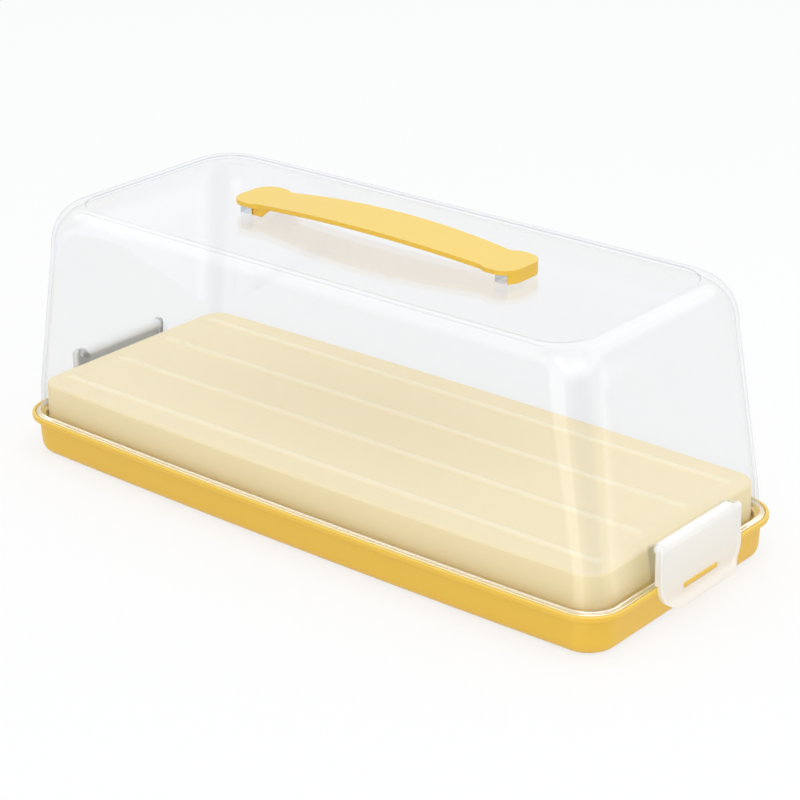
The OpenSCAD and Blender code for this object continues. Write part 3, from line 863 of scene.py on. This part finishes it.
def clip_half_width(z):
    """Half width of a clip at a height, with its rounded bottom and top corners."""
    half = CLIP_W / 2
    low, high = LIP_Z + CLIP_CORNER_R - z, z - (CLIP_TOP - CLIP_TOP_R)
    if low > 0:
        return half - CLIP_CORNER_R + math.sqrt(max(0.0, CLIP_CORNER_R ** 2 - low ** 2))
    if high > 0:
        return half - CLIP_TOP_R + math.sqrt(max(0.0, CLIP_TOP_R ** 2 - high ** 2))
    return half


def clip_face_x(z):
    """Where a clip's outer face lies at a height: flat, and flared towards its lower lip."""
    u = max(0.0, (LIP_START_Z - z) / (LIP_START_Z - LIP_Z))
    return PLATE_OUT_X + LIP_OUT * u ** LIP_CURVE


def clip_border(y, z):
    """Height of the raised border at a place on a clip's face."""
    to_edge = min(clip_half_width(z) - abs(y), z - LIP_Z)
    near = 1 - (to_edge - BORDER_W + BORDER_SLOPE) / BORDER_SLOPE
    return BORDER_H * eased(near) * eased((BORDER_END_Z - z) / BORDER_FADE)


def clip_columns():
    """Y of a clip's columns up to the fixed line on both sides."""
    half = SLOT_L / 2
    inner = [half * k / SLOT_COLUMNS for k in range(-SLOT_COLUMNS, SLOT_COLUMNS + 1)]
    outer = [half + (EDGE_LINE_Y - half) * k / FACE_COLUMNS for k in range(1, FACE_COLUMNS + 1)]
    return [-y for y in reversed(outer)] + inner + outer


def clip_rows():
    """Z of a clip's rows: close together where an edge turns, and along the slot's edges."""
    rows = [LIP_Z + CLIP_CORNER_R * (1 - math.cos(a)) for a in angles(0, 90, 5)]
    rows = [z for z in rows if min(abs(z - edge) for edge in SLOT_Z) > 0.3]
    rows += SLOT_Z
    rows += [LIP_Z + CLIP_CORNER_R + CLIP_ROW_PITCH * k for k in range(1, CLIP_ROWS + 1)]
    rows += [CLIP_TOP - CLIP_TOP_ROUND * (1 - math.sin(a)) for a in angles(0, 84, 12)]
    rows += [CLIP_TOP - CLIP_TOP_R * (1 - math.sin(a)) for a in angles(0, 90, 15)]
    return sorted([z for z in rows if z < PLATE_TOP - 0.05] + [PLATE_TOP])


def clip_plate_mesh(end):
    """A clip's plate with its slot: one grid of points for the outer face, one for the inner."""
    fixed = clip_columns()
    rows = clip_rows()
    verts, faces, grid = [], [], {}
    for layer in (0, 1):
        for r, z in enumerate(rows):
            half = clip_half_width(z)
            edge = [EDGE_LINE_Y + (half - EDGE_LINE_Y) * k / EDGE_COLUMNS
                    for k in range(1, EDGE_COLUMNS + 1)]
            rise = max(0.0, z - (CLIP_TOP - CLIP_TOP_ROUND))
            rounding = CLIP_TOP_ROUND - math.sqrt(max(0.0, CLIP_TOP_ROUND ** 2 - rise ** 2))
            for c, y in enumerate([-y for y in reversed(edge)] + fixed + edge):
                x = clip_face_x(z) + (-CLIP_T if layer else clip_border(y, z) - rounding)
                grid[layer, r, c] = len(verts)
                verts.append((end * x, y, z))
    slot_start = EDGE_COLUMNS + FACE_COLUMNS
    slot_end = slot_start + 2 * SLOT_COLUMNS

    def in_slot(r, c):
        return (slot_start <= c < slot_end
                and rows[r] > SLOT_Z[0] - 0.01 and rows[r + 1] < SLOT_Z[1] + 0.01)

    def close(r1, c1, r2, c2):
        """Adds the wall between the two layers along one edge of the grid."""
        faces.append((grid[0, r1, c1], grid[0, r2, c2], grid[1, r2, c2], grid[1, r1, c1]))

    last_r, last_c = len(rows) - 1, len(fixed) + 2 * EDGE_COLUMNS - 1
    for r in range(last_r):
        for c in range(last_c):
            if in_slot(r, c):
                for r1, c1, r2, c2, inside in (
                        (r, c, r, c + 1, in_slot(r - 1, c)),
                        (r + 1, c, r + 1, c + 1, in_slot(r + 1, c)),
                        (r, c, r + 1, c, in_slot(r, c - 1)),
                        (r, c + 1, r + 1, c + 1, in_slot(r, c + 1))):
                    if not inside:
                        close(r1, c1, r2, c2)
                continue
            for layer in (0, 1):
                faces.append((grid[layer, r, c], grid[layer, r, c + 1],
                              grid[layer, r + 1, c + 1], grid[layer, r + 1, c]))
    for r in range(last_r):
        for c in (0, last_c):
            close(r, c, r + 1, c)
    for c in range(last_c):
        for r in (0, last_r):
            close(r, c, r, c + 1)
    return verts, faces


def clip_side_mesh(end, side):
    """A side wall behind a clip's plate, rounded where it meets the clip's top corner."""
    half = CLIP_W / 2 - CLIP_SIDE_IN
    outline_yz = [(half - CLIP_SIDE_T, CLIP_SIDE_FOOT), (half, CLIP_SIDE_FOOT)]
    outline_yz += [(half - CLIP_TOP_R * (1 - math.cos(a)),
                    CLIP_SIDE_TOP - CLIP_TOP_R * (1 - math.sin(a))) for a in angles(0, 75, 15)]
    outline_yz.append((half - CLIP_SIDE_T, CLIP_SIDE_TOP))
    return loft([[(end * x, side * y, z) for y, z in outline_yz] for x in CLIP_SIDE_X])


def barrel_mesh(end):
    """The hinge barrel behind a clip's top, whose front follows the plate's rounded top edge."""
    turn = arc(HINGE_X, HINGE_Z, BARREL_R, angles(90, 270, 10))
    front = [(PLATE_OUT_X - CLIP_TOP_ROUND * (1 - math.cos(a)),
              CLIP_TOP - CLIP_TOP_ROUND * (1 - math.sin(a))) for a in angles(62, 90, 7)]
    outline_xz = [(front[0][0], HINGE_Z - BARREL_R)] + front + turn
    outline_xz = [(end * x, min(z, BARREL_TOP)) for x, z in outline_xz]
    return prism(outline_xz, -BARREL_HALF, BARREL_HALF)


def trunnion_mesh(end, side):
    """The pin on one side of a clip's barrel, which turns in its cheek."""
    turns = [2 * math.pi * k / TRUNNION_STEPS for k in range(TRUNNION_STEPS)]
    radius, tip_y = TRUNNION_D / 2, CHEEK_Y + CHEEK_T
    return loft([[(end * x, side * y, z) for x, z in arc(HINGE_X, HINGE_Z, r, turns)]
                 for r, y in ((radius, BARREL_HALF - TRUNNION_ROOT),
                              (radius, tip_y - TRUNNION_CHAMFER),
                              (radius - TRUNNION_CHAMFER, tip_y))])


def build_clip(end, name, material):
    plate = make_piece("clip_plate_" + name, *clip_plate_mesh(end), material, 50)
    add_bevel(plate, 0.5, 3, 55)
    finish_piece(plate, "clip_" + name, "clip_" + name)
    barrel = make_piece("clip_barrel_" + name, *barrel_mesh(end), material)
    add_bevel(barrel, 0.3)
    finish_piece(barrel, "clip_" + name, "clip_" + name)
    for side, place in ((-1, "front"), (1, "back")):
        ending = "%s_%s" % (name, place)
        trunnion = make_piece("clip_trunnion_" + ending, *trunnion_mesh(end, side), material, 40)
        finish_piece(trunnion, "clip_" + name, "clip_" + name)
        wall = make_piece("clip_side_" + ending, *clip_side_mesh(end, side), material)
        add_bevel(wall, 0.3)
        finish_piece(wall, "clip_" + name, "clip_" + name)


# Studio

def build_floor():
    """A white floor. The eye sees it lit mostly by itself, and a mirroring surface sees past it."""
    half = FLOOR_HALF
    mesh = bpy.data.meshes.new("floor")
    mesh.from_pydata([(-half, -half, 0), (half, -half, 0), (half, half, 0), (-half, half, 0)], [],
                     [(0, 1, 2, 3)])
    material, nodes, links, shader = new_material("studio_floor")
    tone = add_noise(nodes, links, scale=3, detail=2)
    links.new(mixed(nodes, links, tone, *FLOOR_TONES), shader.inputs["Base Color"])
    shader.inputs["Roughness"].default_value = 0.9
    shader.inputs["Specular IOR Level"].default_value = 0.0
    path = nodes.new("ShaderNodeLightPath")
    glow = nodes.new("ShaderNodeEmission")
    gone = nodes.new("ShaderNodeBsdfTransparent")
    lit = spread(nodes, links, path.outputs["Is Camera Ray"], 0, FLOOR_GLOW)
    seen = mixed_shader(nodes, links, lit, shader.outputs[0], glow.outputs[0])
    mirrored = mixed_shader(nodes, links, path.outputs["Is Glossy Ray"], seen, gone.outputs[0])
    links.new(mirrored, nodes["Material Output"].inputs["Surface"])
    mesh.materials.append(material)
    floor = bpy.data.objects.new("floor", mesh)
    bpy.context.collection.objects.link(floor)


def build_world():
    """White to the eye, an even soft light, and brighter soft boxes for what mirrors the room."""
    world = bpy.data.worlds.new("studio")
    bpy.context.scene.world = world
    world.use_nodes = True
    nodes, links = world.node_tree.nodes, world.node_tree.links
    background = nodes["Background"]
    background.inputs["Color"].default_value = (1, 1, 1, 1)
    coordinates = nodes.new("ShaderNodeTexCoord")
    toward = split_xyz(nodes, links, coordinates.outputs["Generated"])
    boxes = computed(nodes, links, "MULTIPLY",
                     smooth_step(nodes, links, toward["Z"], *RING_BOX_LOW, RING_BOX_LIGHT),
                     smooth_step(nodes, links, toward["Z"], *RING_BOX_HIGH))
    flat = nodes.new("ShaderNodeCombineXYZ")
    links.new(toward["X"], flat.inputs["X"])
    links.new(toward["Y"], flat.inputs["Y"])
    level = nodes.new("ShaderNodeVectorMath")
    level.operation = "NORMALIZE"
    links.new(flat.outputs["Vector"], level.inputs[0])
    for azimuth, half, light in TALL_BOXES:
        a = math.radians(azimuth)
        nearness = nodes.new("ShaderNodeVectorMath")
        nearness.operation = "DOT_PRODUCT"
        nearness.inputs[1].default_value = (math.sin(a), -math.cos(a), 0)
        links.new(level.outputs["Vector"], nearness.inputs[0])
        edges = [math.cos(math.radians(half + soft)) for soft in (TALL_BOX_SOFT, -TALL_BOX_SOFT)]
        tall = smooth_step(nodes, links, nearness.outputs["Value"], *edges, light)
        boxes = computed(nodes, links, "MAXIMUM", boxes, tall)
    path = nodes.new("ShaderNodeLightPath").outputs
    mirrored = computed(nodes, links, "MULTIPLY", boxes, path["Is Glossy Ray"])
    seen = computed(nodes, links, "MAXIMUM", path["Is Camera Ray"], path["Is Glossy Ray"])
    seen = computed(nodes, links, "MAXIMUM", seen, path["Is Transmission Ray"])
    plain = spread(nodes, links, seen, SKY_LIGHT, 1.0)
    links.new(computed(nodes, links, "ADD", plain, mirrored), background.inputs["Strength"])


def add_lamp(name, place, target, size, watts, mirrored):
    lamp = bpy.data.lights.new(name, "AREA")
    lamp.shape = "RECTANGLE"
    lamp.size, lamp.size_y = size
    lamp.energy = watts
    holder = bpy.data.objects.new(name, lamp)
    bpy.context.collection.objects.link(holder)
    holder.location = place
    holder.rotation_euler = (Vector(target) - Vector(place)).to_track_quat("-Z", "Y").to_euler()
    holder.visible_glossy = mirrored


add_camera()
yellow = moulded_plastic("yellow_plastic", YELLOW_TONES, roughness=0.42, subsurface=0.10)
pale = ribbed_plastic("pale_plastic", PALE_TONES, roughness=0.5, subsurface=0.15, rib_highlight=RIB_HIGHLIGHT_TONE)
clear = clear_plastic("clear_plastic")
frosted = frosted_plastic("frosted_plastic")
build_tray(yellow)
build_platform(pale)
build_lid(clear)
build_handle(yellow)
build_clip(-1, "left", frosted)
build_clip(1, "right", frosted)
build_floor()
build_world()
for lamp_row in LAMPS:
    add_lamp(*lamp_row)
bpy.context.scene.view_settings.view_transform = "Standard"
